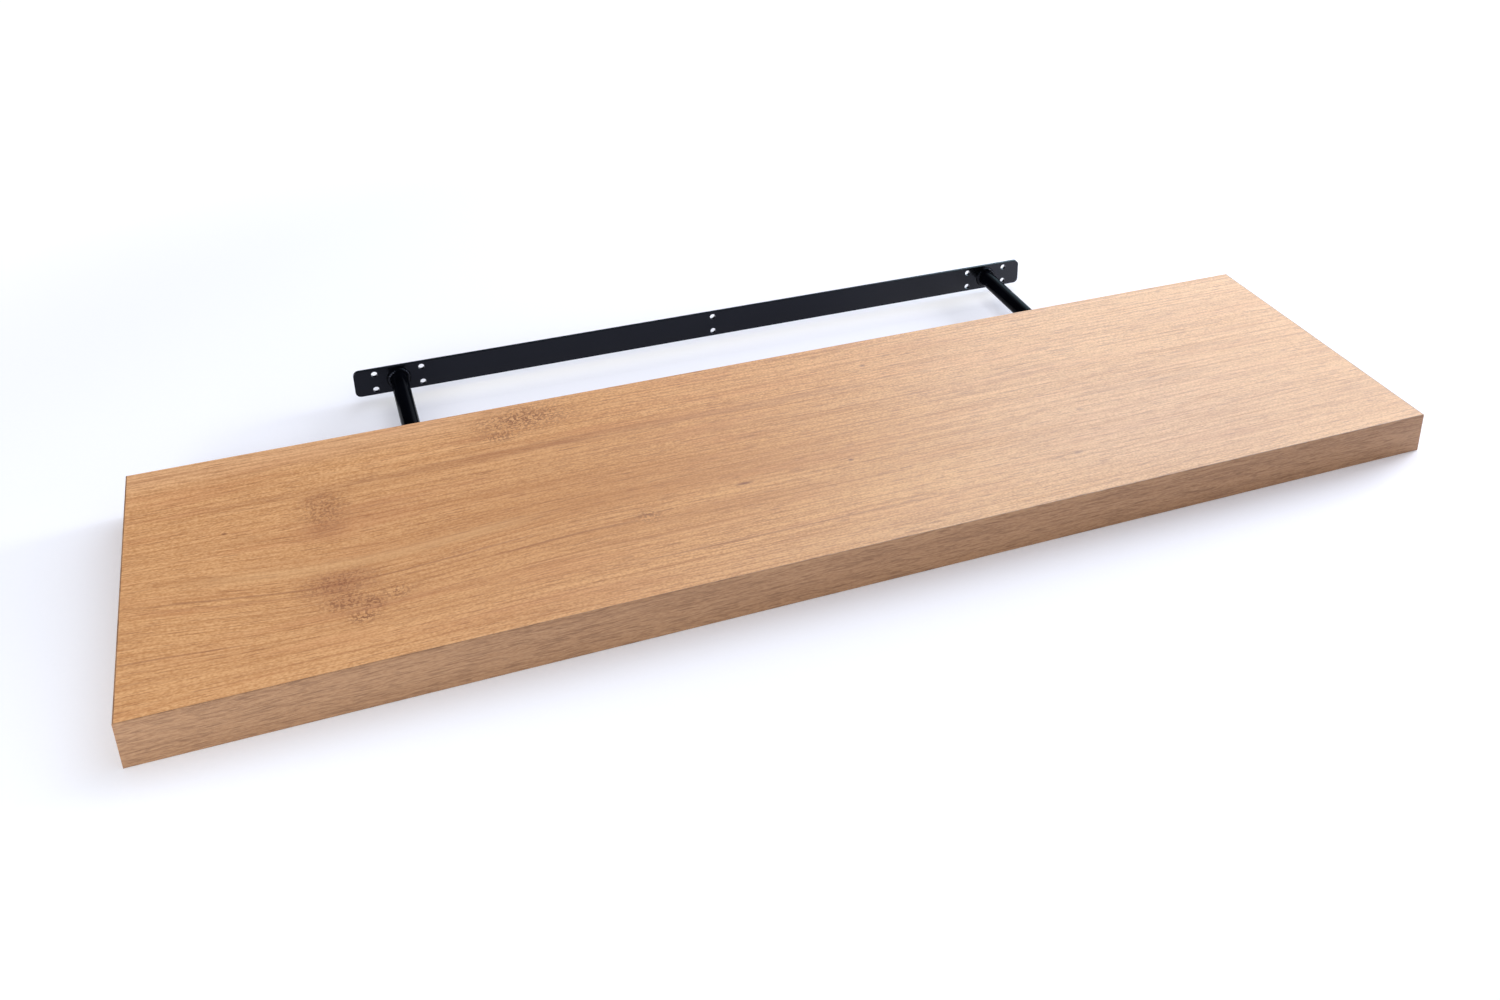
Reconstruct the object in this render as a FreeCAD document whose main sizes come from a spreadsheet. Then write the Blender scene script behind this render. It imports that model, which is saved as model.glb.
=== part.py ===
import FreeCAD, Part
import math
import os

import Sketcher

# A floating shelf: a hollow-core board that slides onto two rods welded to a wall plate.
# Lengths are millimetres. X runs along the wall, Y points into the wall and Z points up.
# The origin is the centre of the plate's back face, the one that lies on the wall.
# The board is drawn pulled part of the way off its rods.

doc = FreeCAD.newDocument("floating_shelf")
Vector = FreeCAD.Vector

# ---------------------------------------------------------------- driving sizes

SIZES = (
    ("board_length", 800, "board, along the wall"),
    ("board_depth", 235, "board, from its back edge to its front edge"),
    ("board_thickness", 28, "board, top to bottom"),
    ("skin_thickness", 3, "top and bottom skins"),
    ("edge_band_thickness", 0.8, "decor bands on the front and the ends"),
    ("edge_band_rounding", 0.4, "scraped outer edges of the bands"),
    ("front_rail_depth", 30, "frame rail behind the front band"),
    ("rear_rail_depth", 45, "frame rail that both rods pass through"),
    ("end_rail_width", 35, "frame rails at the two ends"),
    ("rod_rib_width", 60, "blocks that hold the rods' blind bores"),
    ("cell_width", 20, "honeycomb cell, across its flats"),
    ("cell_wall", 0.5, "honeycomb paper, doubled and glued"),
    ("core_clearance", 1, "between a honeycomb's edge and the frame"),
    ("plate_thickness", 2.5, "wall plate"),
    ("plate_overhang", 30, "plate, from a rod's centre to the plate's end"),
    ("plate_corner_radius", 4, "plate, seen from the front"),
    ("plate_edge_rounding", 0.3, "outline edges of the plate"),
    ("screw_hole_diameter", 4.2, "plain holes for the wall screws"),
    ("hole_pitch_long", 32, "screw holes, one each side of a rod"),
    ("hole_pitch_high", 12, "screw holes, one above the other"),
    ("screw_head_height", 3, "room for the wall screws' heads in the recess"),
    ("recess_clearance", 1, "round the plate inside the board"),
    ("rod_diameter", 12, "carrying rods"),
    ("rod_inset", 170, "from the board's end to a rod's centre"),
    ("rod_tip_cover", 72.5, "board left in front of the rods' tips once it is home"),
    ("rod_tip_chamfer", 1, "lead-in on the rods' tips"),
    ("rod_engagement", 69, "rod still inside the board as drawn"),
    ("weld_leg", 2.5, "bead round the foot of a rod"),
    ("bore_clearance", 0.3, "between a rod and its bore, all round"),
    ("bore_end_clearance", 4, "bore left in front of a rod's tip once the board is home"),
    ("bore_mouth_chamfer", 1, "lead-in at the bores' mouths"),
)

sheet = doc.addObject("Spreadsheet::Sheet", "sizes")
for row, (alias, amount, remark) in enumerate(SIZES, start=1):
    sheet.set(f"A{row}", alias)
    sheet.set(f"B{row}", str(amount))
    sheet.set(f"C{row}", remark)
    sheet.setAlias(f"B{row}", alias)
doc.recompute()

# ---------------------------------------------------------------- sizes worked out from them

CORE_HEIGHT = "(sizes.board_thickness - 2 * sizes.skin_thickness)"
BAND_LENGTH = "(sizes.board_length - 2 * sizes.edge_band_thickness)"
BAND_DEPTH = "(sizes.board_depth - sizes.edge_band_thickness)"
RECESS_DEPTH = "(sizes.plate_thickness + sizes.screw_head_height + sizes.recess_clearance)"
RAIL_SPAN = f"({BAND_LENGTH} - 2 * sizes.end_rail_width)"
BAY_BACK_DEPTH = f"({RECESS_DEPTH} + sizes.rear_rail_depth)"
BAY_DEPTH = f"({BAND_DEPTH} - sizes.front_rail_depth - {BAY_BACK_DEPTH})"

ROD_X = "(sizes.board_length / 2 - sizes.rod_inset)"
ROD_LENGTH = "(sizes.board_depth - sizes.rod_tip_cover - sizes.plate_thickness)"
BORE_DIAMETER = "(sizes.rod_diameter + 2 * sizes.bore_clearance)"
BORE_DEPTH = f"(sizes.plate_thickness + {ROD_LENGTH} + sizes.bore_end_clearance)"
PLATE_LENGTH = f"(2 * ({ROD_X} + sizes.plate_overhang))"
PLATE_HEIGHT = f"({CORE_HEIGHT} - 2 * sizes.recess_clearance)"

BOARD_BACK = f"(sizes.rod_engagement - sizes.plate_thickness - {ROD_LENGTH})"
BOARD_LOW = "(-sizes.board_thickness / 2)"
CORE_LOW = f"(-{CORE_HEIGHT} / 2)"

SIDES = (("left", -1), ("right", 1))
DRILL_POINT_ANGLE = 118
# A weld bead's bulge is an arc with this radius, in legs.
BEAD_ROUNDNESS = 1.2


def value(expression):
    """The number that an expression on the sheet gives."""
    return float(sheet.evalExpression(expression))


# ---------------------------------------------------------------- helpers

def add_body(name, x="0", y="0", z="0"):
    """A body named for its piece, with its own origin at x, y, z."""
    body = doc.addObject("PartDesign::Body", name)
    body.Label = name
    for axis, expression in zip("xyz", (x, y, z)):
        body.setExpression(f"Placement.Base.{axis}", expression)
    return body


def add_sketch(body, plane, name):
    """An empty sketch on one of the body's own origin planes."""
    sketch = body.newObject("Sketcher::SketchObject", name)
    support = next(item for item in body.Origin.OriginFeatures if item.Role == plane)
    sketch.AttachmentSupport = [(support, "")]
    sketch.MapMode = "FlatFace"
    return sketch


def constrain(sketch, name, expression, kind, *where):
    """A driving dimension that follows an expression."""
    index = sketch.addConstraint(Sketcher.Constraint(kind, *where, value(expression)))
    sketch.renameConstraint(index, name)
    sketch.setExpression(f"Constraints.{name}", expression)


def draw_rectangle(sketch, width, height, centred=True):
    """A rectangle about the origin, or one centred in width whose upper side is on the X axis."""
    half = value(width) / 2
    top = value(height) / 2 if centred else 0
    low = top - value(height)
    corners = [Vector(-half, low), Vector(half, low), Vector(half, top), Vector(-half, top)]
    for index, corner in enumerate(corners):
        sketch.addGeometry(Part.LineSegment(corner, corners[(index + 1) % 4]))
    for index in range(4):
        sketch.addConstraint(Sketcher.Constraint("Coincident", index, 2, (index + 1) % 4, 1))
    sketch.addConstraint(Sketcher.Constraint("Vertical", 1))
    sketch.addConstraint(Sketcher.Constraint("Horizontal", 2))
    sketch.addConstraint(Sketcher.Constraint("Vertical", 3))
    if centred:
        sketch.addConstraint(Sketcher.Constraint("Horizontal", 0))
        sketch.addConstraint(Sketcher.Constraint("Symmetric", 0, 1, 2, 1, -1, 1))
    else:
        sketch.addConstraint(Sketcher.Constraint("Symmetric", 0, 1, 0, 2, -2))
        sketch.addConstraint(Sketcher.Constraint("PointOnObject", 2, 1, -1))
    constrain(sketch, "width", width, "DistanceX", 0, 1, 0, 2)
    constrain(sketch, "height", height, "DistanceY", 1, 1, 1, 2)


def draw_circle(sketch, name, diameter, x="0", y="0"):
    """A circle whose diameter and centre follow expressions."""
    centre = Vector(value(x), value(y))
    index = sketch.addGeometry(Part.Circle(centre, Vector(0, 0, 1), value(diameter) / 2))
    constrain(sketch, f"{name}_diameter", diameter, "Diameter", index)
    for axis, kind, coordinate, expression in (
        ("x", "DistanceX", centre.x, x),
        ("y", "DistanceY", centre.y, y),
    ):
        if expression == "0":
            line = {"x": -2, "y": -1}[axis]
            sketch.addConstraint(Sketcher.Constraint("PointOnObject", index, 3, line))
        elif coordinate < 0:
            constrain(sketch, f"{name}_{axis}", f"-{expression}", kind, index, 3, -1, 1)
        else:
            constrain(sketch, f"{name}_{axis}", expression, kind, -1, 1, index, 3)


def add_pad(body, sketch, name, length):
    pad = body.newObject("PartDesign::Pad", name)
    pad.Profile = sketch
    pad.setExpression("Length", length)
    return pad


def add_through_pocket(body, sketch, name):
    """A pocket through the whole body, both ways from its sketch."""
    pocket = body.newObject("PartDesign::Pocket", name)
    pocket.Profile = sketch
    pocket.SideType = "Symmetric"
    pocket.Type = "ThroughAll"
    return pocket


def edge_names(shape, wanted):
    return [f"Edge{index}" for index, edge in enumerate(shape.Edges, start=1) if wanted(edge)]


def dress_edges(body, kind, name, size, wanted):
    """A Fillet or a Chamfer on those edges of the body's last feature that the test picks."""
    doc.recompute()
    base = body.Tip
    feature = body.newObject(f"PartDesign::{kind}", name)
    feature.Base = (base, edge_names(base.Shape, wanted))
    feature.setExpression({"Fillet": "Radius", "Chamfer": "Size"}[kind], size)
    return feature


def lies_at(edge, axis, position):
    """True where the whole edge lies at one position along an axis."""
    box = edge.BoundBox
    low = getattr(box, f"{axis}Min")
    high = getattr(box, f"{axis}Max")
    return abs(low - position) < 1e-4 and abs(high - position) < 1e-4


def runs_along(edge, axis):
    """True for a straight edge that is parallel to an axis."""
    if not isinstance(edge.Curve, Part.Line):
        return False
    return abs(abs(getattr(edge.Curve.Direction, axis)) - 1) < 1e-6


def is_round(edge):
    return isinstance(edge.Curve, Part.Circle)


def add_panel(name, width, depth, height, x="0", back=BOARD_BACK, low=CORE_LOW):
    """A rectangular panel centred at x, with its back face at back and its underside at low."""
    body = add_body(name, x, back, low)
    sketch = add_sketch(body, "XY_Plane", f"{name}_outline")
    draw_rectangle(sketch, width, depth, centred=False)
    add_pad(body, sketch, f"{name}_pad", height)
    return body


# ---------------------------------------------------------------- bracket

def make_wall_plate():
    """Flat bar with rounded corners, four screw holes round each rod and two in the middle."""
    body = add_body("wall_plate")
    outline = add_sketch(body, "XZ_Plane", "wall_plate_outline")
    draw_rectangle(outline, PLATE_LENGTH, PLATE_HEIGHT)
    add_pad(body, outline, "wall_plate_pad", "sizes.plate_thickness")
    dress_edges(
        body, "Fillet", "wall_plate_corners", "sizes.plate_corner_radius",
        lambda edge: runs_along(edge, "y"),
    )
    dress_edges(
        body, "Fillet", "wall_plate_edges", "sizes.plate_edge_rounding",
        lambda edge: not runs_along(edge, "y"),
    )

    group = add_sketch(body, "XZ_Plane", "wall_plate_rod_holes")
    for column in (-1, 1):
        for rank in (-1, 1):
            draw_circle(
                group, f"hole_{column + 1}{rank + 1}", "sizes.screw_hole_diameter",
                f"({ROD_X} + {column} * sizes.hole_pitch_long / 2)",
                f"({rank} * sizes.hole_pitch_high / 2)",
            )
    pocket = add_through_pocket(body, group, "wall_plate_rod_hole_pocket")
    doc.recompute()
    mirrored = body.newObject("PartDesign::Mirrored", "wall_plate_rod_holes_mirrored")
    mirrored.Originals = [pocket]
    mirrored.MirrorPlane = (group, ["V_Axis"])
    body.Tip = mirrored
    doc.recompute()

    middle = add_sketch(body, "XZ_Plane", "wall_plate_middle_holes")
    for rank in (-1, 1):
        draw_circle(
            middle, f"middle_{rank + 1}", "sizes.screw_hole_diameter",
            "0", f"({rank} * sizes.hole_pitch_high / 2)",
        )
    add_through_pocket(body, middle, "wall_plate_middle_hole_pocket")
    return body


def make_rod(side, sign):
    """Round bar, butted on the plate's front face, with a chamfered tip."""
    name = f"{side}_rod"
    body = add_body(name, f"{sign} * {ROD_X}", "-sizes.plate_thickness")
    section = add_sketch(body, "XZ_Plane", f"{name}_section")
    draw_circle(section, "rod", "sizes.rod_diameter")
    add_pad(body, section, f"{name}_pad", ROD_LENGTH)
    tip = -value(ROD_LENGTH)
    dress_edges(
        body, "Chamfer", f"{name}_tip", "sizes.rod_tip_chamfer",
        lambda edge: lies_at(edge, "Y", tip),
    )
    return body


def make_weld(side, sign):
    """Bead in the corner between rod and plate: a three-sided section turned about the rod."""
    name = f"{side}_weld"
    body = add_body(name, f"{sign} * {ROD_X}", "-sizes.plate_thickness")
    section = add_sketch(body, "XY_Plane", f"{name}_section")
    inner = value("sizes.rod_diameter / 2")
    leg = value("sizes.weld_leg")
    corner = Vector(inner, 0)
    on_plate = Vector(inner + leg, 0)
    on_rod = Vector(inner, -leg)
    radius = BEAD_ROUNDNESS * leg
    chord_middle = (on_plate + on_rod) / 2
    inward = (corner - chord_middle).normalize()
    bulge_centre = chord_middle + inward * math.sqrt(radius**2 - leg**2 / 2)
    crest = bulge_centre - inward * radius
    section.addGeometry(Part.LineSegment(on_rod, corner))
    section.addGeometry(Part.LineSegment(corner, on_plate))
    section.addGeometry(Part.Arc(on_rod, crest, on_plate))
    section.addConstraint(Sketcher.Constraint("Coincident", 0, 2, 1, 1))
    section.addConstraint(Sketcher.Constraint("Coincident", 1, 2, 2, 2))
    section.addConstraint(Sketcher.Constraint("Coincident", 0, 1, 2, 1))
    section.addConstraint(Sketcher.Constraint("Vertical", 0))
    section.addConstraint(Sketcher.Constraint("PointOnObject", 1, 1, -1))
    section.addConstraint(Sketcher.Constraint("PointOnObject", 1, 2, -1))
    constrain(section, "inner_radius", "sizes.rod_diameter / 2", "DistanceX", -1, 1, 1, 1)
    constrain(section, "leg_on_plate", "sizes.weld_leg", "DistanceX", 1, 1, 1, 2)
    constrain(section, "leg_on_rod", "sizes.weld_leg", "DistanceY", 0, 1, 0, 2)
    constrain(section, "bulge", f"{BEAD_ROUNDNESS} * sizes.weld_leg", "Radius", 2)
    bead = body.newObject("PartDesign::Revolution", f"{name}_bead")
    bead.Profile = section
    bead.ReferenceAxis = (section, ["V_Axis"])
    bead.Angle = 360
    return body


# ---------------------------------------------------------------- board: skins and bands

def make_skins():
    top_low = f"({CORE_HEIGHT} / 2)"
    return [
        add_panel("top_skin", BAND_LENGTH, BAND_DEPTH, "sizes.skin_thickness", low=top_low),
        add_panel("bottom_skin", BAND_LENGTH, BAND_DEPTH, "sizes.skin_thickness", low=BOARD_LOW),
    ]


def make_front_band():
    """Strip over the whole front edge, its ends covering those of the side strips."""
    name = "front_edge_band"
    body = add_panel(
        name, "sizes.board_length", "sizes.edge_band_thickness", "sizes.board_thickness",
        back=f"({BOARD_BACK} - {BAND_DEPTH})", low=BOARD_LOW,
    )
    outer = -value("sizes.edge_band_thickness")
    dress_edges(
        body, "Fillet", f"{name}_rounding", "sizes.edge_band_rounding",
        lambda edge: lies_at(edge, "Y", outer),
    )
    return body


def make_end_band(side, sign):
    """Strip over one end of the board, from the back edge to the front strip."""
    name = f"{side}_edge_band"
    body = add_panel(
        name, "sizes.edge_band_thickness", BAND_DEPTH, "sizes.board_thickness",
        x=f"{sign} * (sizes.board_length - sizes.edge_band_thickness) / 2", low=BOARD_LOW,
    )
    outer = sign * value("sizes.edge_band_thickness / 2")
    dress_edges(
        body, "Fillet", f"{name}_rounding", "sizes.edge_band_rounding",
        lambda edge: lies_at(edge, "X", outer) and runs_along(edge, "y"),
    )
    return body


# ---------------------------------------------------------------- board: frame

def make_front_rail():
    return add_panel(
        "front_rail", BAND_LENGTH, "sizes.front_rail_depth", CORE_HEIGHT,
        back=f"({BOARD_BACK} - {BAND_DEPTH} + sizes.front_rail_depth)",
    )


def make_end_rail(side, sign):
    return add_panel(
        f"{side}_end_rail", "sizes.end_rail_width",
        f"({BAND_DEPTH} - sizes.front_rail_depth)", CORE_HEIGHT,
        x=f"{sign} * ({BAND_LENGTH} - sizes.end_rail_width) / 2",
    )


def make_rear_rail():
    """Rail set in from the back edge, so that the plate sinks in, with a bore for each rod."""
    name = "rear_rail"
    body = add_panel(
        name, RAIL_SPAN, "sizes.rear_rail_depth", CORE_HEIGHT,
        back=f"({BOARD_BACK} - {RECESS_DEPTH})",
    )
    bores = add_sketch(body, "XZ_Plane", f"{name}_bores")
    for side, sign in SIDES:
        draw_circle(bores, side, BORE_DIAMETER, f"({sign} * {ROD_X})", f"({CORE_HEIGHT} / 2)")
    add_through_pocket(body, bores, f"{name}_bore_pocket")
    dress_edges(
        body, "Chamfer", f"{name}_bore_mouths", "sizes.bore_mouth_chamfer",
        lambda edge: is_round(edge) and lies_at(edge, "Y", 0),
    )
    return body


def make_rod_rib(side, sign):
    """Block from the rear rail to the front rail with a rod's blind bore, drilled from behind."""
    name = f"{side}_rod_rib"
    body = add_panel(
        name, "sizes.rod_rib_width", BAY_DEPTH, CORE_HEIGHT,
        x=f"{sign} * {ROD_X}", back=f"({BOARD_BACK} - {BAY_BACK_DEPTH})",
    )
    start = add_sketch(body, "XZ_Plane", f"{name}_bore_start")
    draw_circle(start, "bore", BORE_DIAMETER, "0", f"({CORE_HEIGHT} / 2)")
    doc.recompute()
    bore = body.newObject("PartDesign::Hole", f"{name}_bore")
    bore.Profile = start
    bore.Reversed = True
    bore.DepthType = "Dimension"
    bore.DrillPoint = "Angled"
    bore.DrillPointAngle = DRILL_POINT_ANGLE
    bore.setExpression("Diameter", BORE_DIAMETER)
    bore.setExpression("Depth", f"({BORE_DEPTH} - {BAY_BACK_DEPTH})")
    return body


# ---------------------------------------------------------------- board: honeycomb

def hexagon(centre, across_flats):
    """A flat hexagon with two of its sides parallel to Y."""
    radius = across_flats / math.sqrt(3)
    corners = []
    for step in range(7):
        turn = math.radians(60 * step + 30)
        corners.append(centre + Vector(math.cos(turn), math.sin(turn)) * radius)
    return Part.Face(Part.makePolygon(corners))


def make_honeycomb(name, low_x, high_x):
    """Expanded paper core between the skins: a sheet of hexagonal cells cut to its bay's size."""
    cell = value("sizes.cell_width")
    clearance = value("sizes.core_clearance")
    width = high_x - low_x - 2 * clearance
    depth = value(BAY_DEPTH) - 2 * clearance
    outline = Part.makePlane(width, depth, Vector(-width / 2, -depth / 2, 0))
    row_pitch = cell * math.sqrt(3) / 2
    rows = math.ceil(depth / 2 / row_pitch) + 1
    columns = math.ceil(width / 2 / cell) + 1
    cells = []
    for row in range(-rows, rows + 1):
        stagger = cell / 2 * (row % 2)
        for column in range(-columns, columns + 1):
            centre = Vector(column * cell + stagger, row * row_pitch, 0)
            cells.append(hexagon(centre, cell - value("sizes.cell_wall")))
    web = outline.cut(Part.makeCompound(cells))
    # Scraps that the trimmed edge leaves unattached fall away.
    sheet_of_cells = max(web.Faces, key=lambda face: face.Area)
    core = doc.addObject("Part::Feature", name)
    core.Label = name
    core.Shape = sheet_of_cells.extrude(Vector(0, 0, value(CORE_HEIGHT)))
    middle_y = value(f"{BOARD_BACK} - {BAY_BACK_DEPTH} - {BAY_DEPTH} / 2")
    core.Placement.Base = Vector((low_x + high_x) / 2, middle_y, value(CORE_LOW))
    return core


def make_honeycombs():
    """One core in each of the three bays that the end rails and the rod ribs leave."""
    rail_x = value(f"{RAIL_SPAN} / 2")
    rib_outer = value(f"{ROD_X} + sizes.rod_rib_width / 2")
    rib_inner = value(f"{ROD_X} - sizes.rod_rib_width / 2")
    return [
        make_honeycomb("left_honeycomb", -rail_x, -rib_outer),
        make_honeycomb("centre_honeycomb", -rib_inner, rib_inner),
        make_honeycomb("right_honeycomb", rib_outer, rail_x),
    ]


# ---------------------------------------------------------------- assembly

pieces = [make_wall_plate()]
pieces += [make_rod(side, sign) for side, sign in SIDES]
pieces += [make_weld(side, sign) for side, sign in SIDES]
pieces += make_skins()
pieces += [make_front_band()]
pieces += [make_end_band(side, sign) for side, sign in SIDES]
pieces += [make_front_rail(), make_rear_rail()]
pieces += [make_end_rail(side, sign) for side, sign in SIDES]
pieces += [make_rod_rib(side, sign) for side, sign in SIDES]
pieces += make_honeycombs()
doc.recompute()

# ---------------------------------------------------------------- checks and output

for item in doc.Objects:
    if "Invalid" in item.State or "Error" in item.State:
        raise RuntimeError(f"{item.Name} did not recompute: {item.State}")
for piece in pieces:
    if piece.Shape.isNull() or not piece.Shape.isValid():
        raise RuntimeError(f"{piece.Label} has no valid shape")
    if len(piece.Shape.Solids) != 1:
        raise RuntimeError(f"{piece.Label} is {len(piece.Shape.Solids)} solids, not one")

os.makedirs("parts", exist_ok=True)
for piece in pieces:
    piece.Shape.exportStep(f"parts/{piece.Label}.step")
    print(f"{piece.Label:18s} {piece.Shape.Volume:12.1f} mm3")
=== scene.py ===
import math

import bpy
import numpy as np
from mathutils import Matrix, Vector


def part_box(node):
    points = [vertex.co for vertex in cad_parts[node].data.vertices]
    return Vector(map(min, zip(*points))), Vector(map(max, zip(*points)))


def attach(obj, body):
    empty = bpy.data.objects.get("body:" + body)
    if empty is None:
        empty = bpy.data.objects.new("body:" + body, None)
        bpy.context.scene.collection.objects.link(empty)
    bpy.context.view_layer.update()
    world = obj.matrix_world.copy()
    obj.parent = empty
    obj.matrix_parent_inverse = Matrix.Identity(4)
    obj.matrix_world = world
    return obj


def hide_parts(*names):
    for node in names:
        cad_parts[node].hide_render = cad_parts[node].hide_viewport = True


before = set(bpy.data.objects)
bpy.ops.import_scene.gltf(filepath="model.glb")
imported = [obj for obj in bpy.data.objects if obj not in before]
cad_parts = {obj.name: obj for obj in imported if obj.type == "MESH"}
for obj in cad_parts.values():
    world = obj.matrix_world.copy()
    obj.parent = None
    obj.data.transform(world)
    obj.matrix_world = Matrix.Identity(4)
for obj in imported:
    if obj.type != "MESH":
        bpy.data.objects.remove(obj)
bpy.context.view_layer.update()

# ---------------------------------------------------------------- measures of the shelf, in metres

FACE_HEIGHT = 0.014  # the board's faces lie this far above and below its middle
PAPER_THICKNESS = 0.0002  # the decor paper on them
CORE_HEIGHT = 0.0065  # chips are coarse up to about this far from the middle of the chipboard's thickness
PLATE_TOP = 0.010  # the wall plate's upper edge
FLOOR_HEIGHT = -0.0141  # a tenth of a millimetre under the board

# How deep the finishes' reliefs are.
PRINT_DEPTH = 0.00003
BAND_DEPTH = 0.00005
CHIP_DEPTH = 0.0003
PAPER_DEPTH = 0.0001
PEEL_DEPTH = 0.00003

# The weld beads: points round a rod and round a bead's outline, and ripples round a rod.
BEAD_STEPS = (180, 24)
BEAD_RIPPLES = 30

# ---------------------------------------------------------------- marks in the upper face's oak print

RIB_WAVE = 1400.0  # the fine ribs' wave, in radians to the metre: they are 4.5 mm apart

# Where the grain bends by BEND metres: centre, reach along and across.
BEND = 0.010
DIP = ((-0.278, -0.252), (0.140, 0.075))
RISE = ((-0.430, -0.240), (0.150, 0.080))
CURLS = (((-0.115, -0.252), (0.045, 0.020)), ((-0.290, -0.180), (0.050, 0.050)))

# Broad places: one browner than the rest, one warmer that is painted to take back some of the lamp's cool
# sheen, and one cooler that is painted cool sheen. Each: centre, reach along and across.
BROWNER = ((-0.120, -0.220), (0.270, 0.125))
LESS_SHEEN_PLACE = ((-0.030, -0.230), (0.230, 0.170))
PAINTED_SHEEN_PLACE = ((0.230, -0.275), (0.180, 0.120))

# Changes of tone along or across the board, each from where it starts to where it is full.
CALMER_ALONG = (-0.100, 0.150)
DEEPER_ACROSS = (-0.120, -0.290)
STRAW_ALONG, STRAW_ACROSS = (-0.100, -0.250), (-0.130, -0.100)

# Grain lines: across, half width, start and end along the board, strength.
GRAIN_LINES = (
    (-0.2445, 0.0012, -0.420, -0.150, 0.60),
    (-0.2955, 0.0010, -0.150, 0.060, 0.55),
    (-0.1520, 0.0070, -0.330, 0.120, 0.26),
    (-0.1480, 0.0013, -0.260, -0.060, 0.40),
    (-0.2545, 0.0015, -0.210, -0.110, 0.55),
    (-0.2880, 0.0012, -0.420, -0.330, 0.50),
    (-0.2210, 0.0060, 0.190, 0.320, 0.16),
    (-0.1760, 0.0220, -0.260, 0.260, 0.09),
    (-0.3150, 0.0160, -0.260, 0.120, 0.08),
)
# The pale line beside the large knot: across, half width, start and end along the board.
PALE_LINE = (-0.2275, 0.0075, -0.385, -0.150)
# Stained places: centre, reach along and across, strength.
STAINS = (
    ((-0.290, -0.253), (0.029, 0.018), 0.58),
    ((-0.290, -0.272), (0.016, 0.010), 0.44),
    ((-0.276, -0.277), (0.012, 0.009), 0.34),
    ((-0.288, -0.275), (0.060, 0.032), 0.10),
    ((-0.293, -0.163), (0.016, 0.013), 0.32),
    ((-0.287, -0.177), (0.018, 0.014), 0.28),
    ((-0.291, -0.197), (0.020, 0.016), 0.32),
    ((-0.270, -0.190), (0.050, 0.026), 0.14),
    ((-0.146, -0.153), (0.024, 0.004), 0.45),
)
# Pin knots: centre, reach along and across, strength.
PIN_KNOTS = (
    ((-0.051, -0.240), (0.0085, 0.0022), 0.95),
    ((0.186, -0.237), (0.0045, 0.0030), 0.55),
    ((0.159, -0.284), (0.0050, 0.0030), 0.55),
    ((0.020, -0.239), (0.0028, 0.0021), 0.95),
    ((0.072, -0.128), (0.0032, 0.0020), 0.80),
    ((-0.346, -0.180), (0.0024, 0.0020), 0.90),
)
# Flecked patches: centre, reach along and across, strength.
FLECKED = (
    ((-0.290, -0.271), (0.020, 0.016), 0.80),
    ((-0.276, -0.277), (0.012, 0.012), 0.85),
    ((-0.282, -0.288), (0.013, 0.010), 0.90),
    ((-0.263, -0.272), (0.014, 0.012), 0.70),
    ((-0.166, -0.114), (0.050, 0.026), 0.95),
    ((-0.181, -0.130), (0.024, 0.010), 0.70),
    ((-0.290, -0.252), (0.036, 0.020), 0.60),
    ((-0.290, -0.176), (0.022, 0.034), 0.65),
    ((-0.115, -0.252), (0.014, 0.010), 0.60),
)

# ---------------------------------------------------------------- colours

OAK_PALE = (0.836, 0.462, 0.198)
OAK = (0.741, 0.385, 0.155)
OAK_DEEP = (0.597, 0.284, 0.101)
OAK_PINK = (0.670, 0.290, 0.123)
OAK_RUSSET = (0.450, 0.172, 0.048)
OAK_STRAW = (0.880, 0.530, 0.290)
OAK_SHADED = (0.550, 0.285, 0.115)
OAK_CREAM = (0.780, 0.470, 0.215)
GRAIN_BROWN = (0.400, 0.150, 0.045)
PORE_BROWN = (0.340, 0.135, 0.050)
LINE_BROWN = (0.340, 0.140, 0.060)
STAIN_BROWN = (0.400, 0.158, 0.066)
KNOT_BROWN = (0.260, 0.100, 0.045)
FLECK_BROWN = (0.245, 0.092, 0.038)
# The next two multiply the oak's colour as painted light: the first takes back some of the lamp's cool sheen,
# the second is painted cool sheen.
LESS_SHEEN_TINT = (1.00, 0.98, 0.80)  # these two multiply the oak's colour
PAINTED_SHEEN_TINT = (0.97, 1.00, 1.20)

# The edge bands' colours are darker than the oak's, partly as painted shade on the upright edges.
BAND_PALE = (0.404, 0.224, 0.113)
BAND = (0.356, 0.190, 0.093)
BAND_DEEP = (0.288, 0.145, 0.068)
BAND_BROWN = (0.175, 0.080, 0.038)

FELT_DARK, FELT_PALE = (0.150, 0.085, 0.043), (0.300, 0.185, 0.100)
CHIP_DARK, CHIP_BROWN = (0.165, 0.090, 0.040), (0.370, 0.235, 0.120)
CHIP_TAN, CHIP_PALE = (0.520, 0.360, 0.205), (0.680, 0.510, 0.320)
PAPER_DARK, PAPER_PALE = (0.300, 0.190, 0.100), (0.470, 0.330, 0.195)

# The bracket's black, and for each of its parts the optical density and the tint of what it mirrors. The beads
# take the plate's tint.
BLACK_DARK, BLACK_PALE = (0.0010, 0.0012, 0.0020), (0.0018, 0.0021, 0.0034)
PLATE_DENSITY, PLATE_TINT = 1.34, (0.76, 0.80, 1.0, 1.0)
BEAD_DENSITY = 1.25
ROD_DENSITY, ROD_TINT = 1.07, (1.0, 0.80, 0.72, 1.0)

# The clear gloss over the plate: where it starts and is full along the plate, and how much of it there is.
GLOSS_ALONG = (0.050, 0.300)
PLATE_GLOSS = 0.55

# ---------------------------------------------------------------- camera and studio

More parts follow.
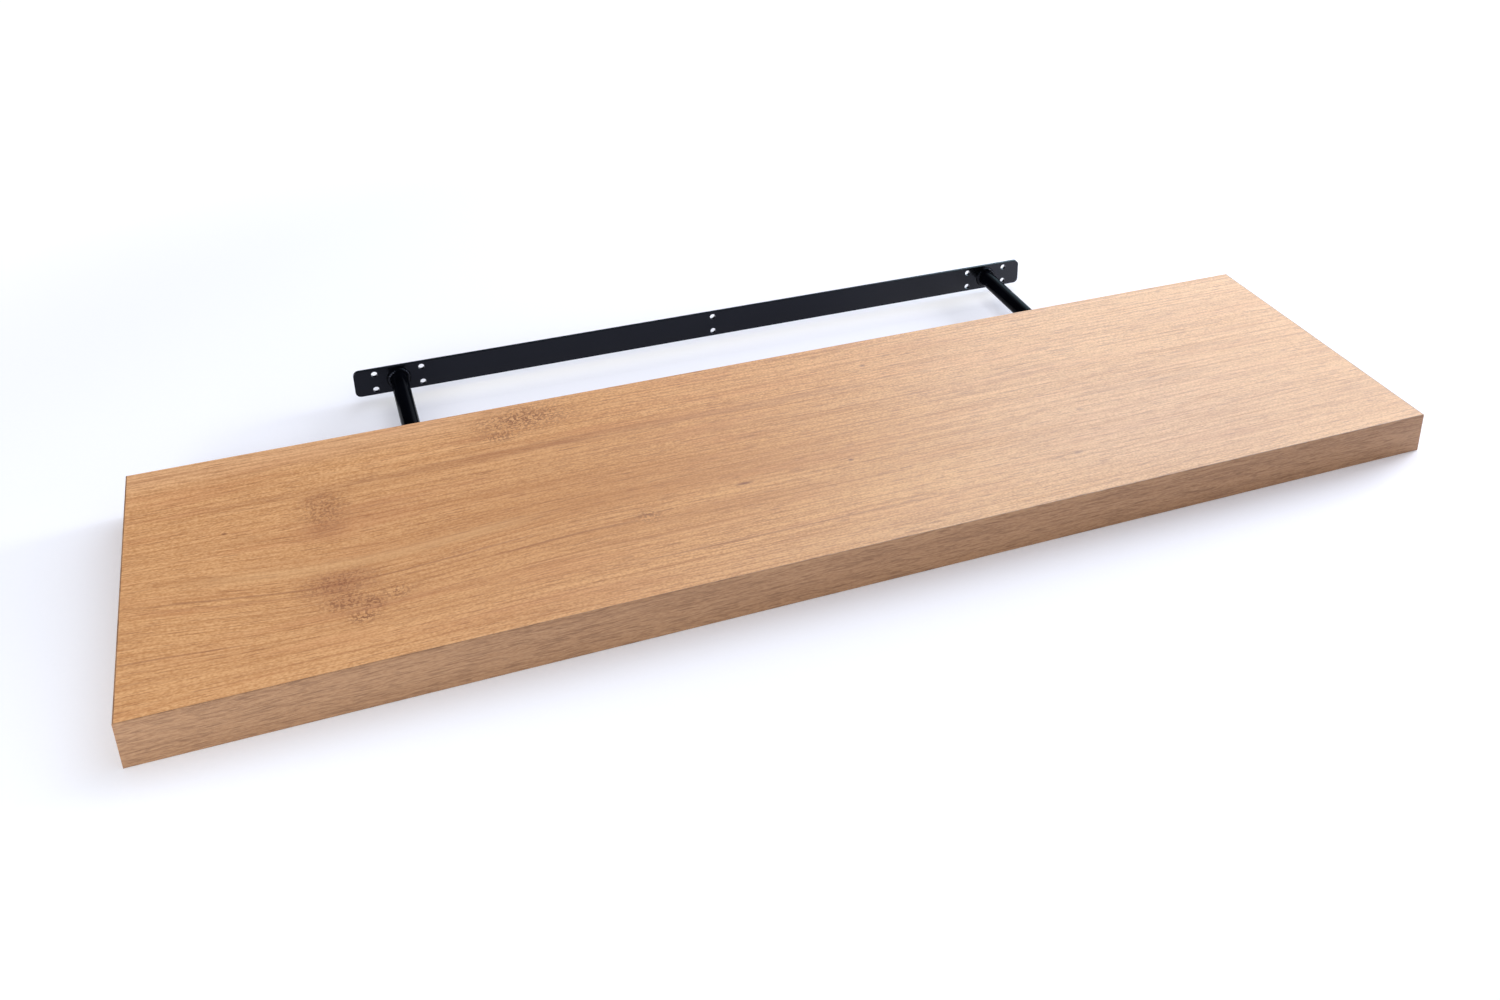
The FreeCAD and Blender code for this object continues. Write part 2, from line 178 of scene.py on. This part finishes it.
CAMERA_PLACE = (-0.27934, -0.99980, 0.53640)
CAMERA_HEADING, CAMERA_TILT, CAMERA_ROLL = 23.505, 25.636, 1.080  # degrees
CAMERA_LENS, CAMERA_SENSOR = 36.50, 36.0  # millimetres
CAMERA_SHIFT = (-0.10, -0.15)
CAMERA_SIGHT = 50.0

SKY_COLOUR = (0.93, 0.92, 1.0, 1.0)
SKY_GLOW = 0.69  # as light on the object
SKY_WHITE = 1.30  # as the camera sees it
SKY_MIRRORED = 0.0  # as gloss mirrors it

FLOOR_REACH = 8.0
FLOOR_CENTRE = (0.0, -0.15, FLOOR_HEIGHT)
FAR_AWAY = (0.50, 1.00)  # where the far floor's glow starts and is full, from the centre
FAR_GLOW = (0.26, 0.25, 0.24)

# The glowing strip in front of the plate: where the glow starts and is full, at each edge and at each end.
STRIP_BACK, STRIP_FRONT = (0.001, -0.006), (-0.028, -0.007)
STRIP_LEFT, STRIP_RIGHT = (-0.280, -0.210), (0.265, 0.235)
STRIP_GLOW = (0.275, 0.270, 0.245)

# Soft lights: name, place, aim, width, power, colour, and whether they light matt surfaces, not only gloss.
SOFTBOXES = (
    ("key_light", (1.20, 0.75, 1.05), (0.2, -0.2, 0.0), 2.6, 23.5, (0.75, 0.84, 1.0), True),
    ("sheen_light", (1.24, 0.71, 1.035), (0.2, -0.2, 0.0), 1.7, 23.0, (0.48, 0.82, 0.95), False),
    ("right_fill", (1.60, 0.10, 0.35), (0.0, -0.1, 0.0), 0.6, 26.0, (0.82, 0.86, 1.0), True),
    ("left_fill", (-0.90, -0.90, 0.25), (-0.3, -0.3, 0.0), 0.5, 6.6, (0.86, 0.95, 1.0), True),
)


# ---------------------------------------------------------------- shader arithmetic


class Value:
    """An output socket of a node tree, in arithmetic: each operator adds one Math node."""

    def __init__(self, nodes, socket):
        self.nodes = nodes
        self.socket = socket

    def __add__(self, other):
        return self.nodes.math("ADD", self, other)

    def __radd__(self, other):
        return self.nodes.math("ADD", other, self)

    def __sub__(self, other):
        return self.nodes.math("SUBTRACT", self, other)

    def __rsub__(self, other):
        return self.nodes.math("SUBTRACT", other, self)

    def __mul__(self, other):
        return self.nodes.math("MULTIPLY", self, other)

    def __rmul__(self, other):
        return self.nodes.math("MULTIPLY", other, self)

    def __abs__(self):
        return self.nodes.math("ABSOLUTE", self)


class Nodes:
    """The node tree of a material or of the sky, emptied and ready for new nodes."""

    def __init__(self, owner):
        owner.use_nodes = True
        self.tree = owner.node_tree
        self.tree.nodes.clear()

    def node(self, kind, settings, sockets, output=0):
        """Adds a node, sets its settings, then its sockets' values or links, and gives one of its outputs."""
        made = self.tree.nodes.new(kind)
        for setting, value in settings.items():
            if setting == "stops":
                self.set_stops(made.color_ramp, value)
            else:
                setattr(made, setting, value)
        for socket, value in sockets.items():
            if isinstance(value, Value):
                self.tree.links.new(value.socket, made.inputs[socket])
            else:
                made.inputs[socket].default_value = value
        return None if output is None else Value(self, made.outputs[output])

    @staticmethod
    def set_stops(ramp, stops):
        """Gives a colour ramp its stops, each a position and a colour."""
        while len(ramp.elements) < len(stops):
            ramp.elements.new(1.0)
        for element, (position, colour) in zip(ramp.elements, stops):
            element.position = position
            element.color = (*colour, 1.0)

    def math(self, operation, *terms):
        return self.node("ShaderNodeMath", {"operation": operation}, dict(enumerate(terms)))

    def vector(self, operation, *terms, output=0):
        return self.node("ShaderNodeVectorMath", {"operation": operation}, dict(enumerate(terms)), output)


class Finish(Nodes):
    """A material in the making: a Principled surface and the nodes that vary it."""

    def __init__(self, name, **surface):
        self.material = bpy.data.materials.new(name)
        super().__init__(self.material)
        sockets = {socket.replace("_", " "): value for socket, value in surface.items()}
        self.surface = self.node("ShaderNodeBsdfPrincipled", {}, sockets)
        self.node("ShaderNodeOutputMaterial", {}, {"Surface": self.surface}, None)

    def place(self):
        """Where a point is in the row frame, in metres."""
        return self.node("ShaderNodeTexCoord", {}, {}, "Object")

    def split(self, vector):
        """The three coordinates of a vector."""
        first = self.node("ShaderNodeSeparateXYZ", {}, {0: vector})
        separate = first.socket.node
        return [Value(self, separate.outputs[axis]) for axis in "XYZ"]

    def join(self, x, y, z):
        return self.node("ShaderNodeCombineXYZ", {}, {0: x, 1: y, 2: z})

    def step(self, value, start, end):
        """A smooth step from 0 at start to 1 at end; start may be the larger one."""
        sockets = {"Value": value, "From Min": start, "From Max": end}
        return self.node("ShaderNodeMapRange", {"interpolation_type": "SMOOTHSTEP"}, sockets)

    def noise(self, place, counts, seed, detail=2.0, roughness=0.5):
        """Fractal noise, 0 to 1, with so many cells to the metre along each axis."""
        moved = self.vector("MULTIPLY_ADD", place, counts, (seed, 1.7 * seed, 0.6 * seed))
        sockets = {"Vector": moved, "Scale": 1.0, "Detail": detail, "Roughness": roughness}
        return self.node("ShaderNodeTexNoise", {"noise_dimensions": "3D"}, sockets)

    def spot(self, place, centre, reach):
        """1 at the centre of an ellipse in the board's plane, falling smoothly to 0 on its outline. Reach is
        half its length and width."""
        counts = (1 / reach[0], 1 / reach[1], 0.0)
        offset = (-centre[0] / reach[0], -centre[1] / reach[1], 0.0)
        distance = self.vector("LENGTH", self.vector("MULTIPLY_ADD", place, counts, offset), output="Value")
        return self.step(distance, 1.0, 0.0)

    def contour(self, value, half):
        """Thin lines where a noise passes through its middle value; half sets their width."""
        return self.step(abs(value - 0.5), half, 0.3 * half)

    def stripe(self, across, along, centre, half, start, end):
        """1 on a line in the grain, falling smoothly to 0 at its half width, and fading over a quarter of its
        length at both ends."""
        fade = 0.25 * (end - start)
        body = self.step(abs(across - centre), half, 0.15 * half)
        return body * self.step(along, start, start + fade) * self.step(along, end, end - fade)

    def most(self, values):
        """The largest of several values."""
        largest, *others = values
        for value in others:
            largest = self.math("MAXIMUM", largest, value)
        return largest

    def mix(self, share, first, second, kind="MIX"):
        """A colour between two colours, or the second laid over the first in another way."""
        settings = {"data_type": "RGBA", "blend_type": kind, "clamp_factor": True}
        colours = [c if isinstance(c, Value) else (*c, 1.0) for c in (first, second)]
        return self.node("ShaderNodeMix", settings, {0: share, 6: colours[0], 7: colours[1]}, 2)

    def ramp(self, value, *stops):
        """A colour that follows a value through the given stops."""
        return self.node("ShaderNodeValToRGB", {"stops": stops}, {0: value})

    def relief(self, height, depth):
        """A surface normal that follows a height, whose unit is depth metres."""
        return self.node("ShaderNodeBump", {}, {"Height": height, "Distance": depth, "Strength": 1.0})

    def done(self, **links):
        """Links the values that vary over the surface, and gives the material."""
        for socket, value in links.items():
            shader = self.surface.socket.node
            self.tree.links.new(value.socket, shader.inputs[socket.replace("_", " ")])
        return self.material


# ---------------------------------------------------------------- finishes


def fibreboard(finish, place):
    """Bare fibreboard: the colour and the height of a felt of short brown fibres."""
    felt = finish.noise(place, (900.0, 900.0, 2600.0), 4.3, 3.0, 0.6)
    cloud = finish.noise(place, (60.0, 60.0, 200.0), 8.9)
    tone = 0.65 * felt + 0.35 * cloud
    colour = finish.ramp(tone, (0.30, FELT_DARK), (0.70, FELT_PALE))
    return colour, felt


def oak_marks(finish, wood, place, loose, along, across, upper):
    """Adds the upper face's own marks to the oak print: grain lines, stains, pin knots and flecks."""
    lines = [finish.stripe(across, along, *line) * (strength * upper) for *line, strength in GRAIN_LINES]
    wood = finish.mix(finish.most(lines), wood, LINE_BROWN)
    wood = finish.mix(0.30 * finish.stripe(across, along, *PALE_LINE) * upper, wood, OAK_CREAM)
    for centre, reach, strength in STAINS:
        wood = finish.mix(finish.spot(loose, centre, reach) * (strength * upper), wood, STAIN_BROWN)
    for centre, reach, strength in PIN_KNOTS:
        wood = finish.mix(finish.spot(place, centre, reach) * (strength * upper), wood, KNOT_BROWN)
    flecks = finish.step(finish.noise(loose, (680.0, 600.0, 0.0), 7.7, 1.0), 0.48, 0.58)
    patches = [finish.spot(loose, centre, reach) * strength for centre, reach, strength in FLECKED]
    return finish.mix(0.90 * finish.most(patches) * flecks * upper, wood, FLECK_BROWN)


def oak_decor():
    """Oak print on the panels' outer faces, with marks on the upper one, and bare fibreboard elsewhere."""
    finish = Finish("oak_decor", IOR=1.5)
    place = finish.place()
    x, y, z = finish.split(place)
    upper = finish.step(z, -0.001, 0.001)

    # The grain runs along the board and drifts a little. On the upper face it dips under the large knot at
    # the left, rises beyond it, and curls in two places.
    drift = finish.noise(place, (2.4, 8.0, 25.0), 3.1, 2.0) - 0.5
    quiver = finish.noise(place, (20.0, 90.0, 25.0), 5.7, 2.0) - 0.5
    loose = finish.vector("MULTIPLY_ADD", finish.join(drift, quiver, 0.0), (0.02, 0.010, 0.0), place)
    curl = finish.spot(place, *CURLS[0]) + finish.spot(place, *CURLS[1])
    bend = BEND * finish.spot(place, *DIP) - BEND * finish.spot(place, *RISE) + BEND * curl * quiver
    grain_y = y + 0.010 * drift + 0.0010 * quiver + upper * bend
    grain = finish.join(x + 40.0 * z, grain_y, 0.0)

    # Broad bands from yellow to red brown, with soft streaks, long fine fibres and a grainy speckle.
    bands = finish.noise(grain, (1.8, 30.0, 0.0), 1.9, 2.0)
    streaks = finish.noise(grain, (3.5, 150.0, 0.0), 6.2, 2.0, 0.55)
    fibres = finish.noise(grain, (7.0, 500.0, 0.0), 2.6, 2.0, 0.7)
    speckle = finish.noise(grain, (620.0, 980.0, 0.0), 8.8, 0.0)
    tone = 0.10 * bands + 0.02 * streaks + 0.42 * fibres + 0.52 * speckle - 0.03
    wood = finish.ramp(1 - tone, (0.37, OAK_PALE), (0.50, OAK), (0.63, OAK_DEEP))

    # Pink bands, calmer to the right, and russet ones, strongest in a browner place in the left half. Then
    # broad changes: straw yellow at the back on the left, deeper towards the front, and painted light in two
    # places: a warmer tint that takes back some of the lamp's cool sheen, and a cooler tint that is painted
    # cool sheen.
    blush = finish.step(finish.noise(grain, (9.0, 60.0, 0.0), 4.9, 2.0), 0.50, 0.68)
    wood = finish.mix((0.30 - 0.14 * finish.step(x, *CALMER_ALONG)) * blush, wood, OAK_PINK)
    browner = finish.spot(place, *BROWNER) * upper
    russet = finish.step(finish.noise(grain, (2.0, 42.0, 0.0), 5.3, 1.0), 0.32, 0.68)
    wood = finish.mix(0.16 * browner + russet * (0.06 + 0.32 * browner), wood, OAK_RUSSET)
    straw = finish.step(y, *STRAW_ACROSS) * finish.step(x, *STRAW_ALONG) * upper
    wood = finish.mix(0.34 * straw, wood, OAK_STRAW)
    wood = finish.mix(0.20 * finish.step(y, *DEEPER_ACROSS) * upper, wood, OAK_SHADED)
    wood = finish.mix(0.50 * finish.spot(place, *LESS_SHEEN_PLACE) * upper, wood, LESS_SHEEN_TINT, "MULTIPLY")
    wood = finish.mix(0.60 * finish.spot(place, *PAINTED_SHEEN_PLACE) * upper, wood, PAINTED_SHEEN_TINT, "MULTIPLY")

    # Fine ribs, thin grain lines that come and go along the board, and short pores.
    wander = finish.noise(grain, (1.2, 14.0, 0.0), 4.4, 2.0)
    ribs = finish.step(finish.math("SINE", RIB_WAVE * grain_y + 18.0 * wander), 0.35, 0.97)
    long_lines = finish.contour(finish.noise(grain, (3.5, 230.0, 0.0), 7.1, 1.5), 0.026)
    short_lines = finish.step(finish.noise(grain, (13.0, 540.0, 0.0), 3.7, 1.0), 0.53, 0.64)
    lasting = finish.step(finish.noise(grain, (7.0, 90.0, 0.0), 8.3, 2.0), 0.42, 0.62)
    pores = finish.step(finish.noise(grain, (75.0, 1300.0, 0.0), 9.4, 1.0), 0.57, 0.70)
    annual = long_lines * (0.20 + 0.80 * lasting)
    wood = finish.mix(ribs * (0.16 + 0.16 * lasting), wood, GRAIN_BROWN)
    wood = finish.mix(0.26 * annual, wood, GRAIN_BROWN)
    wood = finish.mix(0.28 * short_lines, wood, GRAIN_BROWN)
    wood = finish.mix(0.58 * pores, wood, PORE_BROWN)
    wood = oak_marks(finish, wood, place, loose, x, grain_y, upper)

    # The paper shows the print, pressed in along ribs and lines; below it the panel is bare.
    faced = finish.step(abs(z), FACE_HEIGHT - 1.3 * PAPER_THICKNESS, FACE_HEIGHT - PAPER_THICKNESS)
    bare, felt = fibreboard(finish, place)
    groove = 0.40 * ribs + 0.20 * pores + 0.20 * annual + 0.20 * short_lines
    relief = 0.6 * (1 - faced) * felt - faced * groove
    return finish.done(
        Base_Color=finish.mix(faced, bare, wood),
        Roughness=0.85 - faced * (0.48 - 0.10 * annual),
        Normal=finish.relief(relief, PRINT_DEPTH),
    )


def edge_decor(name, along):
    """Print of the edge bands: browner and darker than the faces, partly as painted shade, with lines and
    short flecks along the given axis.
    """
    finish = Finish(name, IOR=1.5)
    x, y, z = finish.split(finish.place())
    length = y if along == "Y" else x
    quiver = finish.noise(finish.join(length, z, 0.0), (25.0, 110.0, 0.0), 3.9, 2.0) - 0.5
    grain = finish.join(length, z + 0.004 * quiver, 0.0)
    bands = finish.noise(grain, (3.0, 90.0, 0.0), 2.2, 2.0)
    streaks = finish.noise(grain, (14.0, 600.0, 0.0), 5.1, 2.0, 0.6)
    speckle = finish.noise(grain, (330.0, 1100.0, 0.0), 6.4, 1.0)
    lines = finish.contour(finish.noise(grain, (30.0, 420.0, 0.0), 8.7, 1.0), 0.050)
    flecks = finish.step(finish.noise(grain, (85.0, 1100.0, 0.0), 7.3, 1.0), 0.54, 0.68)
    tone = 0.30 * bands + 0.32 * streaks + 0.38 * speckle
    wood = finish.ramp(1 - tone, (0.38, BAND_PALE), (0.50, BAND), (0.62, BAND_DEEP))
    wood = finish.mix(0.34 * lines, wood, BAND_BROWN)
    wood = finish.mix(0.50 * flecks, wood, BAND_BROWN)
    return finish.done(
        Base_Color=wood,
        Roughness=0.42 + 0.12 * flecks,
        Normal=finish.relief(1 - 0.4 * speckle - 0.3 * lines - 0.3 * flecks, BAND_DEPTH),
    )


def chipboard():
    """Bare chipboard: coarse chips with smaller ones between them in the middle of its thickness, and fine
    ones near its faces. Each chip is one cell of a pattern whose edges are shaken by noise."""
    finish = Finish("chipboard", IOR=1.45)
    place = finish.place()
    height = abs(finish.split(place)[2])
    warp = finish.noise(place, (260.0, 260.0, 420.0), 3.3, 3.0, 0.6)
    tilt = finish.noise(place, (90.0, 90.0, 120.0), 7.9, 2.0)
    shaken = finish.vector("MULTIPLY_ADD", finish.join(warp, tilt, warp), (0.006, 0.010, 0.0022), place)
    fine_layer = finish.step(height, CORE_HEIGHT - 0.001, CORE_HEIGHT + 0.001)
    chips = []
    for counts in ((180.0, 180.0, 900.0), (420.0, 420.0, 1300.0), (900.0, 900.0, 2200.0)):
        cells = finish.vector("MULTIPLY", shaken, counts)
        sockets = {"Vector": cells, "Scale": 1.0}
        chip = finish.node("ShaderNodeTexVoronoi", {"feature": "F1"}, sockets, "Color")
        chips.append(finish.split(chip)[0])
    coarse, medium, fine = chips
    small = finish.step(finish.noise(place, (220.0, 220.0, 500.0), 2.4, 2.0), 0.46, 0.52)
    core = coarse + small * (medium - coarse)
    tone = core + fine_layer * (fine - core)
    fibre = finish.noise(place, (500.0, 500.0, 2200.0), 6.6, 3.0, 0.6)
    colour = finish.ramp(
        0.62 * tone + 0.38 * fibre,
        (0.12, CHIP_DARK),
        (0.28, CHIP_BROWN),
        (0.60, CHIP_TAN),
        (0.95, CHIP_PALE),
    )
    return finish.done(
        Base_Color=colour,
        Roughness=0.78 + 0.15 * fibre,
        Normal=finish.relief(0.7 * tone + 0.3 * fibre, CHIP_DEPTH),
    )


def kraft_paper():
    """Brown paper with a cloudy pulp and fine lengthwise fibres."""
    finish = Finish("kraft_paper", IOR=1.4)
    place = finish.place()
    pulp = finish.noise(place, (120.0, 120.0, 120.0), 2.8, 3.0, 0.6)
    fibre = finish.noise(place, (900.0, 900.0, 4000.0), 5.4, 2.0)
    tone = 0.6 * pulp + 0.4 * fibre
    return finish.done(
        Base_Color=finish.ramp(tone, (0.30, PAPER_DARK), (0.70, PAPER_PALE)),
        Roughness=0.8 + 0.15 * fibre,
        Normal=finish.relief(fibre, PAPER_DEPTH),
    )


def powder_coat(name, density, tint, gloss=0.0):
    """Black powder coat of a given optical density and tint, with a faint orange-peel relief, a little uneven
    in roughness and dull on the plate's upper edge. Gloss is how much clear coat lies over it at the bracket's
    right end, fading out towards the middle."""
    finish = Finish(name, IOR=density, Specular_Tint=tint, Coat_Roughness=0.25)
    place = finish.place()
    x, _, z = finish.split(place)
    peel = finish.noise(place, (900.0, 900.0, 900.0), 1.4, 2.0)
    cloud = finish.noise(place, (45.0, 45.0, 45.0), 6.1, 2.0)
    edge = finish.step(z, PLATE_TOP - 0.0008, PLATE_TOP - 0.0001)
    glossed = {"Coat_Weight": gloss * finish.step(x, *GLOSS_ALONG)} if gloss else {}
    return finish.done(
        Base_Color=finish.ramp(cloud, (0.30, BLACK_DARK), (0.70, BLACK_PALE)),
        Roughness=0.14 + 0.06 * cloud + 0.60 * edge,
        Normal=finish.relief(peel, PEEL_DEPTH),
        **glossed,
    )


# ---------------------------------------------------------------- pieces


def closed_ring(name, points):
    """A mesh from points on a grid that closes on itself both ways: each cell is one quad."""
    rows, columns = points.shape[:2]
    row, column = np.meshgrid(np.arange(rows), np.arange(columns), indexing="ij")
    after_row, after_column = (row + 1) % rows, (column + 1) % columns
    corners = (
        row * columns + column,
        row * columns + after_column,
        after_row * columns + after_column,
        after_row * columns + column,
    )
    faces = np.stack(corners, axis=-1).reshape(-1, len(corners))
    mesh = bpy.data.meshes.new(name)
    mesh.from_pydata(points.reshape(-1, 3), [], faces)
    mesh.shade_smooth()
    piece = bpy.data.objects.new(name, mesh)
    bpy.context.scene.collection.objects.link(piece)
    return piece


def weld_bead(name, node):
    """Fillet weld round the foot of a rod, filling the box of its plain node.

    A point is at an angle round the rod and at a share along the bead's outline. Out is how far it stands off
    the rod, and up how far off the plate. From 0 to a half the outline is the bead's face, which slopes
    straight from the rod down to the plate, pushed outwards by half a sine wave. Its leg is shortened by a
    smaller half sine wave and by ripples: each is the cosine of so many times the angle, minus a bow along
    the outline, so that it is a crescent. From a half to 1 the outline returns behind the face, sunk by half
    a sine wave. The leg also grows and shrinks slowly round the rod, by two sines of the angle."""
    low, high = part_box(node)
    centre_x = (low.x + high.x) / 2
    outer = (high.x - low.x) / 2
    leg = high.y - low.y
    inner = outer - leg
    buried = 0.3 * leg
    angles = np.linspace(0, 2 * np.pi, BEAD_STEPS[0], endpoint=False)
    shares = np.linspace(0, 1, BEAD_STEPS[1], endpoint=False)
    angle, share = np.meshgrid(angles, shares, indexing="ij")
    across = np.clip(2 * share, 0, 1)
    back = np.clip(2 * share - 1, 0, 1)
    bow = np.sin(np.pi * across)
    inset = 0.5 * buried * np.sin(np.pi * back)
    uneven_leg = leg * (0.94 + 0.03 * np.sin(3 * angle + 1.0) + 0.03 * np.sin(7 * angle))
    ripple = np.cos(BEAD_RIPPLES * angle - 2.2 * bow) * bow
    hollow = 0.10 * bow + 0.045 * (1 + ripple) * (share < 0.5)
    bulge = 0.18 * leg * bow
    out = np.where(share > 0.5, (1 - back) * uneven_leg - inset, across * uneven_leg * (1 - hollow) + bulge)
    up = np.where(share > 0.5, back * uneven_leg - inset, (1 - across) * uneven_leg * (1 - hollow) + bulge)
    radius = inner + np.clip(out, -buried, leg)
    y = high.y - np.clip(up, 0, leg)
    points = np.stack((centre_x + radius * np.cos(angle), y, radius * np.sin(angle)), axis=-1)
    return closed_ring(name, points)


# ---------------------------------------------------------------- camera, floor and light


def add_camera():
    """Camera in front of the board and above it, left of its middle, turned right and slightly rolled."""
    lens = bpy.data.cameras.new("camera")
    lens.sensor_width = CAMERA_SENSOR
    lens.lens = CAMERA_LENS
    lens.shift_x, lens.shift_y = CAMERA_SHIFT
    lens.clip_end = CAMERA_SIGHT
    camera = bpy.data.objects.new("camera", lens)
    camera.matrix_world = (
        Matrix.Translation(CAMERA_PLACE)
        @ Matrix.Rotation(-math.radians(CAMERA_HEADING), 4, "Z")
        @ Matrix.Rotation(math.pi / 2 - math.radians(CAMERA_TILT), 4, "X")
        @ Matrix.Rotation(math.radians(CAMERA_ROLL), 4, "Z")
    )
    bpy.context.scene.collection.objects.link(camera)
    bpy.context.scene.camera = camera


def add_floor():
    """A wide matt white floor just under the board. It glows far from the board, so that it runs on into the
    white sky, and in a strip in front of the plate, which takes away the plate's shadow."""
    sides = ((-1, -1), (1, -1), (1, 1), (-1, 1))
    corners = [(side_x * FLOOR_REACH, side_y * FLOOR_REACH, FLOOR_HEIGHT) for side_x, side_y in sides]
    mesh = bpy.data.meshes.new("floor")
    mesh.from_pydata(corners, [], [(0, 1, 2, 3)])
    floor = bpy.data.objects.new("floor", mesh)
    bpy.context.scene.collection.objects.link(floor)
    finish = Finish("matt_white", Roughness=0.9, Specular_IOR_Level=0.1, Emission_Strength=1.0)
    place = finish.place()
    x, y, _ = finish.split(place)
    speckle = finish.noise(place, (400.0, 400.0, 400.0), 1.0)
    colour = finish.ramp(speckle, (0.0, (0.97, 0.97, 0.97)), (1.0, (0.99, 0.99, 0.99)))
    away = finish.vector("DISTANCE", place, FLOOR_CENTRE, output="Value")
    far = finish.ramp(finish.step(away, *FAR_AWAY), (0.0, (0.0, 0.0, 0.0)), (1.0, FAR_GLOW))
    strip = finish.step(y, *STRIP_BACK) * finish.step(y, *STRIP_FRONT)
    strip = strip * finish.step(x, *STRIP_LEFT) * finish.step(x, *STRIP_RIGHT)
    glow = finish.mix(strip, far, STRIP_GLOW)
    mesh.materials.append(finish.done(Base_Color=colour, Emission_Color=glow))


def add_softbox(name, place, aim, size, power, colour, matt):
    """A square area light at a place, aimed at a point. Where matt is False it lights only by gloss."""
    light = bpy.data.lights.new(name, "AREA")
    light.size, light.energy, light.color = size, power, colour
    lamp = bpy.data.objects.new(name, light)
    lamp.location = place
    lamp.rotation_mode = "QUATERNION"
    lamp.rotation_quaternion = (Vector(aim) - Vector(place)).to_track_quat("-Z", "Y")
    lamp.visible_diffuse = matt
    bpy.context.scene.collection.objects.link(lamp)


def add_sky():
    """A cool sky that lights the object: white where the camera sees it, and dark where gloss mirrors it."""
    world = bpy.data.worlds.new("sky")
    sky = Nodes(world)
    seen = sky.node("ShaderNodeLightPath", {}, {}, "Is Camera Ray")
    mirrored = sky.node("ShaderNodeLightPath", {}, {}, "Is Glossy Ray")
    strength = SKY_GLOW + (SKY_WHITE - SKY_GLOW) * seen - (SKY_GLOW - SKY_MIRRORED) * mirrored
    glow = sky.node("ShaderNodeBackground", {}, {"Color": SKY_COLOUR, "Strength": strength})
    sky.node("ShaderNodeOutputWorld", {}, {"Surface": glow}, None)
    bpy.context.scene.world = world


# ---------------------------------------------------------------- assembly


def dress(nodes, material):
    """Gives CAD nodes a finish in place of their plain one."""
    for node in nodes:
        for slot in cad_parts[node].material_slots:
            slot.material = material


dress(("wall_plate",), powder_coat("plate_black", PLATE_DENSITY, PLATE_TINT, PLATE_GLOSS))
dress(("left_rod", "right_rod"), powder_coat("rod_black", ROD_DENSITY, ROD_TINT))
dress(("top_skin", "bottom_skin"), oak_decor())
dress(("front_edge_band",), edge_decor("front_edge_decor", "X"))
dress(("left_edge_band", "right_edge_band"), edge_decor("end_edge_decor", "Y"))
dress(
    ("front_rail", "rear_rail", "left_end_rail", "right_end_rail", "left_rod_rib", "right_rod_rib"),
    chipboard(),
)
dress(("left_honeycomb", "centre_honeycomb", "right_honeycomb"), kraft_paper())

bead_black = powder_coat("bead_black", BEAD_DENSITY, PLATE_TINT)
for side in ("left", "right"):
    bead = weld_bead(side + "_weld_bead", side + "_weld")
    bead.data.materials.append(bead_black)
    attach(bead, "bracket")
    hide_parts(side + "_weld")

add_camera()
add_floor()
add_sky()
for softbox in SOFTBOXES:
    add_softbox(*softbox)
bpy.context.scene.view_settings.view_transform = "Standard"
